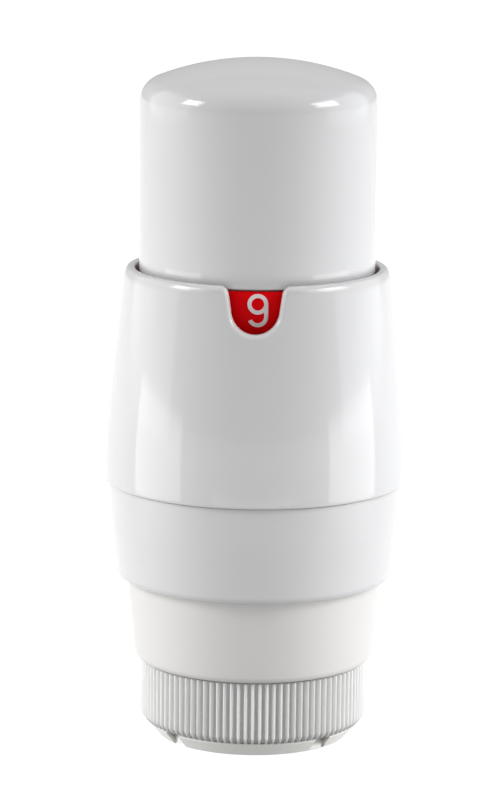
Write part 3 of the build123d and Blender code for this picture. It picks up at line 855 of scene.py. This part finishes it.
def rib_tree(material):
    sizes = {"Ribs": float(RIBS), "Depth": RIB_DEPTH, "From Radius": RIBS_FROM}
    sizes.update({"Sharpness": 1.3, "Groove Share": 0.12})
    n, given, target = geometry_tree("fine_ribs", sizes, material)
    angle, _, reach, outward = polar(n)
    wave = n.math("COSINE", n.math("MULTIPLY", angle, given["Ribs"]))
    leaning = n.math("SUBTRACT", n.math("MULTIPLY", wave, given["Sharpness"]), given["Groove Share"])
    flank = n.math("MULTIPLY_ADD", leaning, 0.5, 0.5, clamp=True)
    groove = n.math("SUBTRACT", flank, 1.0)
    outside = n.math("GREATER_THAN", reach, given["From Radius"])
    depth = n.math("MULTIPLY", n.math("MULTIPLY", groove, given["Depth"]), outside)
    push(n, given["Geometry"], outward, depth, target)
    return n


# %% [markdown]
# The sleeve itself is a plain turned ring with a sloping lower edge. It has twelve points
# for each rib, which is just enough for a smooth wave that keeps the mesh small.

# %% Ribbed sleeve
nut_r = radius("knurled_sleeve") / MM
sleeve_low, sleeve_top = low("knurled_sleeve") / MM, high("knurled_sleeve") / MM
sleeve_corners = mm(
    (15.6, sleeve_low, 0.15), (16.75, sleeve_low, 0.15), (nut_r, sleeve_low + 1.0, 0.5),
    (nut_r, sleeve_top, 0.25), (15.6, sleeve_top, 0.1))
sleeve_profile = rounded(sleeve_corners, arc_steps=4)
sleeve = lathe("ribbed_sleeve", sleeve_profile, NUT_WHITE, segments=RIBS * POINTS_PER_RIB)
apply_tree(sleeve, rib_tree(NUT_WHITE), {"Ribs": RIBS, "Depth": RIB_DEPTH, "From Radius": RIBS_FROM})
finish_piece(sleeve, "knurled_sleeve", "union_nut")

# %% [markdown]
# The insert carries the real thread that screws onto a valve. A thread is a wave too, but
# one that climbs a pitch with each turn, so the same trick works with height and angle
# together. The bore is therefore built from many close rows that the wave can bend. The
# four slots in its lower edge are cut last, with plain blocks and the exact boolean.

# %% Thread of the nut insert
BORE_R, THREAD_TOP = 14.19 * MM, 7.5 * MM


def thread_tree(material):
    sizes = {"Pitch": 1.5 * MM, "Depth": 0.8 * MM, "Bore": BORE_R, "Start": 0.8 * MM, "End": 7.4 * MM}
    n, given, target = geometry_tree("nut_thread", sizes, material)
    angle, height, reach, outward = polar(n)
    turns = n.math("SUBTRACT", n.math("DIVIDE", height, given["Pitch"]), n.math("DIVIDE", angle, 2 * math.pi))
    tooth = n.math("PINGPONG", turns, 0.5)
    groove = n.math("MULTIPLY_ADD", tooth, 2.7, -0.17, clamp=True)
    fade = n.math("DIVIDE", 1.0, given["Pitch"])
    fade_in = n.math("MULTIPLY", n.math("SUBTRACT", height, given["Start"]), fade, clamp=True)
    fade_out = n.math("MULTIPLY", n.math("SUBTRACT", given["End"], height), fade, clamp=True)
    at_bore = n.math("COMPARE", reach, given["Bore"], 0.02 * MM)
    depth = n.math("MULTIPLY", n.math("MULTIPLY", groove, given["Depth"]),
                   n.math("MULTIPLY", at_bore, n.math("MULTIPLY", fade_in, fade_out)))
    push(n, given["Geometry"], outward, depth, target)
    return n


# %% [markdown]
# The body of the insert is turned like the rest. Where its profile reaches the bore, about
# eighty rows are put in, one each nine hundredths of a millimetre, for the thread.

# %% Body of the nut insert
ROW_STEP, BORE_ROWS = 0.09 * MM, 80


def insert_profile():
    """Profile of the insert, with the bore as many close rows for the thread to bend."""
    outline = mm((14.75, 0, 0.2), (16.35, 1.9, 0.12), (16.35, 2.25, 0.08), (15.5, 2.25, 0), (15.5, 11.9, 0.1),
                 (14.72, 11.9, 0.1), (14.72, 11.1, 0), (15.15, 11.1, 0), (15.15, 9.9, 0), (14.72, 9.9, 0),
                 (14.72, 8.0, 0), (14.19, 7.5, 0), (14.19, 0.25, 0), (14.4, 0, 0))
    rows = []
    for r, z in rounded(outline, arc_steps=4):
        rows.append(np.array((r, z)))
        if abs(r - BORE_R) < TINY and abs(z - THREAD_TOP) < TINY:
            rows += [np.array((BORE_R, THREAD_TOP - ROW_STEP * k)) for k in range(1, BORE_ROWS)]
    return [p for i, p in enumerate(rows) if not (abs(p[0] - BORE_R) < TINY and i and p[1] > rows[i - 1][1])]


# %% [markdown]
# Four slots part the lower edge into springy lips. Each is cut by two plain blocks: a
# shallow one behind the rim, and a lower one that goes right through. The nut is turned a
# few degrees, because a nut never stops with its slots in line with the window.

# %% Slots of the nut insert
NUT_TURN_DEG, SLOT_WIDTH = -3.8, 2.8
SLOT_SIDES = [(3, 2, 1, 0), (4, 5, 6, 7), (0, 1, 5, 4), (1, 2, 6, 5), (2, 3, 7, 6), (3, 0, 4, 7)]


def slot_cutters(turn_deg, width, count=4):
    """Four blocks that cut the lower edge of the insert into springy segments."""
    blocks = []
    for k in range(count):
        for near, far, lowest, top in ((14.9, 17.5, -1.0, 2.28), (13.0, 17.5, -1.0, 1.2)):
            mesh = bpy.data.meshes.new("slot_block")
            turn = Matrix.Rotation(math.radians(turn_deg + 45.0 + 90.0 * k), 4, "Z")
            half = width / 2
            plan = ((near, -half), (far, -half), (far, half), (near, half))
            corners = [turn @ Vector((x * MM, y * MM, z * MM)) for z in (lowest, top) for x, y in plan]
            mesh.from_pydata(corners, [], SLOT_SIDES)
            block = bpy.data.objects.new("slot_block", mesh)
            bpy.context.scene.collection.objects.link(block)
            blocks.append(block)
    return blocks


def cut_away(piece, blocks):
    """Subtracts each block, keeps the result as a plain mesh and removes the blocks."""
    for block in blocks:
        modifier = piece.modifiers.new("slot", "BOOLEAN")
        modifier.operation = "DIFFERENCE"
        modifier.solver = "EXACT"
        modifier.object = block
    bpy.context.view_layer.update()
    mesh = bpy.data.meshes.new_from_object(piece.evaluated_get(bpy.context.evaluated_depsgraph_get()))
    piece.modifiers.clear()
    piece.data = mesh
    mesh.name = piece.name
    mesh.set_sharp_from_angle(angle=math.radians(35.0))
    for block in blocks:
        bpy.data.objects.remove(block)
    return piece


insert = lathe("nut_insert", insert_profile(), NUT_GREY, segments=192, sharp_deg=50.0)
apply_tree(insert, thread_tree(NUT_GREY), {"Pitch": 1.5 * MM, "Depth": 0.8 * MM})
cut_away(insert, slot_cutters(NUT_TURN_DEG, SLOT_WIDTH))
finish_piece(insert, "union_nut_insert", "union_nut")

# %% [markdown]
# The scale ring is a plain red band inside the barrel, seen only through the window. Its
# profile is four rounded corners, turned like the cap, and it rides with the handwheel.

# %% Scale ring
ring_low, ring_high = low("scale_ring") / MM, high("scale_ring") / MM
ring_corners = mm(
    (16.9, ring_low, 0.1), (17.8, ring_low, 0.15), (17.8, ring_high, 0.15), (16.9, ring_high, 0.1))
ring = lathe("red_scale_band", rounded(ring_corners, arc_steps=4), RED)
finish_piece(ring, "scale_ring", "handwheel")


# %% [markdown]
# The numbers are thin prints that the CAD already wraps round the ring, and the small
# parts of the mechanism are already the right shape as well. Drawing them again would add
# nothing, so a copy of each CAD mesh is welded and shaded smoothly between its real edges.
# The numbers move by a tenth of a millimetre, as a print that is never quite centred.

# %% Welded copies of the small CAD shapes
def welded(node, name, material, sharp_deg=30.0):
    """Copy of a CAD node with its loose triangles merged, smooth but for its real edges."""
    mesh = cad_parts[node].data.copy()
    mesh.name = name
    work = bmesh.new()
    work.from_mesh(mesh)
    bmesh.ops.remove_doubles(work, verts=work.verts, dist=TINY)
    bmesh.ops.dissolve_degenerate(work, edges=work.edges, dist=1e-8)
    work.to_mesh(mesh)
    work.free()
    if mesh.has_custom_normals:
        mesh.normals_split_custom_set([(0, 0, 0)] * len(mesh.loops))
    mesh.shade_smooth()
    mesh.set_sharp_from_angle(angle=math.radians(sharp_deg))
    mesh.materials.clear()
    mesh.materials.append(material)
    piece = bpy.data.objects.new(name, mesh)
    bpy.context.scene.collection.objects.link(piece)
    return piece


SMALL_SHAPES = [
    ("scale_numerals", "scale_numbers", "handwheel", "scale_print", PRINT),
    ("threaded_bush", "handwheel_bush", "handwheel", "mechanism_plastic", MECHANISM),
    ("threaded_carrier", "sensor_carrier", "carriage", "mechanism_plastic", MECHANISM),
    ("carriage_guide", "carrier_guide", "base", "mechanism_plastic", MECHANISM),
    ("tappet_guide", "pin_guide", "base", "mechanism_plastic", MECHANISM),
    ("push_pin", "long_push_pin", "tappet", "mechanism_plastic", MECHANISM),
    ("pin_tip", "push_pin_tip", "tappet", "spring_steel", STEEL),
    ("nut_retaining_ring", "nut_wire_ring", "base", "spring_steel", STEEL),
    ("handwheel_retaining_ring", "handwheel_snap_ring", "base", "spring_steel", STEEL),
    ("spring_retainer", "spring_clip_ring", "carriage", "spring_steel", STEEL),
    ("sensor_can", "sensor_liquid_can", "sensor", "sensor_can", ALUMINIUM),
    ("fill_tube", "pinched_fill_tube", "sensor", "sensor_metal", BRASS),
    ("sensor_end_plate", "sensor_base_plate", "sensor", "sensor_metal", BRASS),
    ("bellows_cap", "bellows_top_disc", "tappet", "sensor_metal", BRASS),
]
NUMERAL_SHIFT = Matrix.Translation((0, 0, 0.12 * MM)) @ Matrix.Rotation(math.radians(0.5), 4, "Z")
for node, name, body, slot, material in SMALL_SHAPES:
    shape = welded(node, name, material)
    if node == "scale_numerals":
        shape.data.transform(NUMERAL_SHIFT)
    finish_piece(shape, node, body)

# %% [markdown]
# Inside the cap a strong spring holds the sensor on its seat. A coil follows a helix, and
# Geometry Nodes have one ready: a spiral curve that a small circle is swept along.

# %% Overload spring
WIRE, COIL_R, TURNS = 0.6 * MM, 13.2 * MM, 6.0
END_GAP = 1.02 * WIRE


def coil_tree(material):
    sizes = {"Turns": TURNS, "Radius": COIL_R, "Wire": WIRE, "Low": 68.0 * MM, "Height": 19.0 * MM}
    n, given, target = geometry_tree("wound_coil", sizes, material)
    spiral = n.add("GeometryNodeCurveSpiral", {"Resolution": 48, "Rotations": given["Turns"],
                                               "Start Radius": given["Radius"], "End Radius": given["Radius"],
                                               "Height": given["Height"]})
    wire = n.add("GeometryNodeCurvePrimitiveCircle", {"Resolution": 12, "Radius": given["Wire"]})
    coil = n.add("GeometryNodeCurveToMesh", {"Curve": spiral.outputs[0], "Profile Curve": wire.outputs[0],
                                             "Fill Caps": True})
    lift = n.add("ShaderNodeCombineXYZ", {"Z": given["Low"]}).outputs[0]
    placed = n.add("GeometryNodeTransform", {"Geometry": coil.outputs[0], "Translation": lift})
    n.feed(target, placed.outputs[0])
    return n


spring_low, spring_high = low("overload_spring"), high("overload_spring")
coil = mesh_object("sensor_overload_spring", [(0, 0, 0)], [], STEEL)
coil_sizes = {"Turns": TURNS, "Radius": COIL_R, "Wire": WIRE, "Low": spring_low + END_GAP,
              "Height": spring_high - spring_low - 2 * END_GAP}
apply_tree(coil, coil_tree(STEEL), coil_sizes)
coil.data.shade_smooth()
finish_elastic_piece(coil, "overload_spring", "sensor", "carriage")

# %% [markdown]
# The bellows is a thin metal tube with nine folds that the sensor's liquid squeezes. It is
# a turned shape again: its inner and outer outline follow one wave, a wall apart. Like the
# spring it stands between two bodies.

# %% Bellows
def bellows_profile(folds=9, wall=0.35 * MM, root=6.08 * MM, crest=8.25 * MM):
    """Wavy wall: the outside and the inside follow the same wave, one wall thickness apart."""
    z_low, z_high = low("bellows"), high("bellows")
    steps = folds * 16
    outside, inside = [], []
    for k in range(steps + 1):
        z = z_low + (z_high - z_low) * k / steps
        wave = 0.5 - 0.5 * math.cos(2 * math.pi * folds * k / steps)
        middle = root + (crest - wall / 2 - root) * wave ** 0.8
        outside.append(np.array((middle + wall / 2, z)))
        inside.append(np.array((middle - wall / 2, z)))
    return outside + inside[::-1]


folds = lathe("sensor_bellows", bellows_profile(), BRASS, segments=96)
finish_elastic_piece(folds, "bellows", "sensor", "tappet")
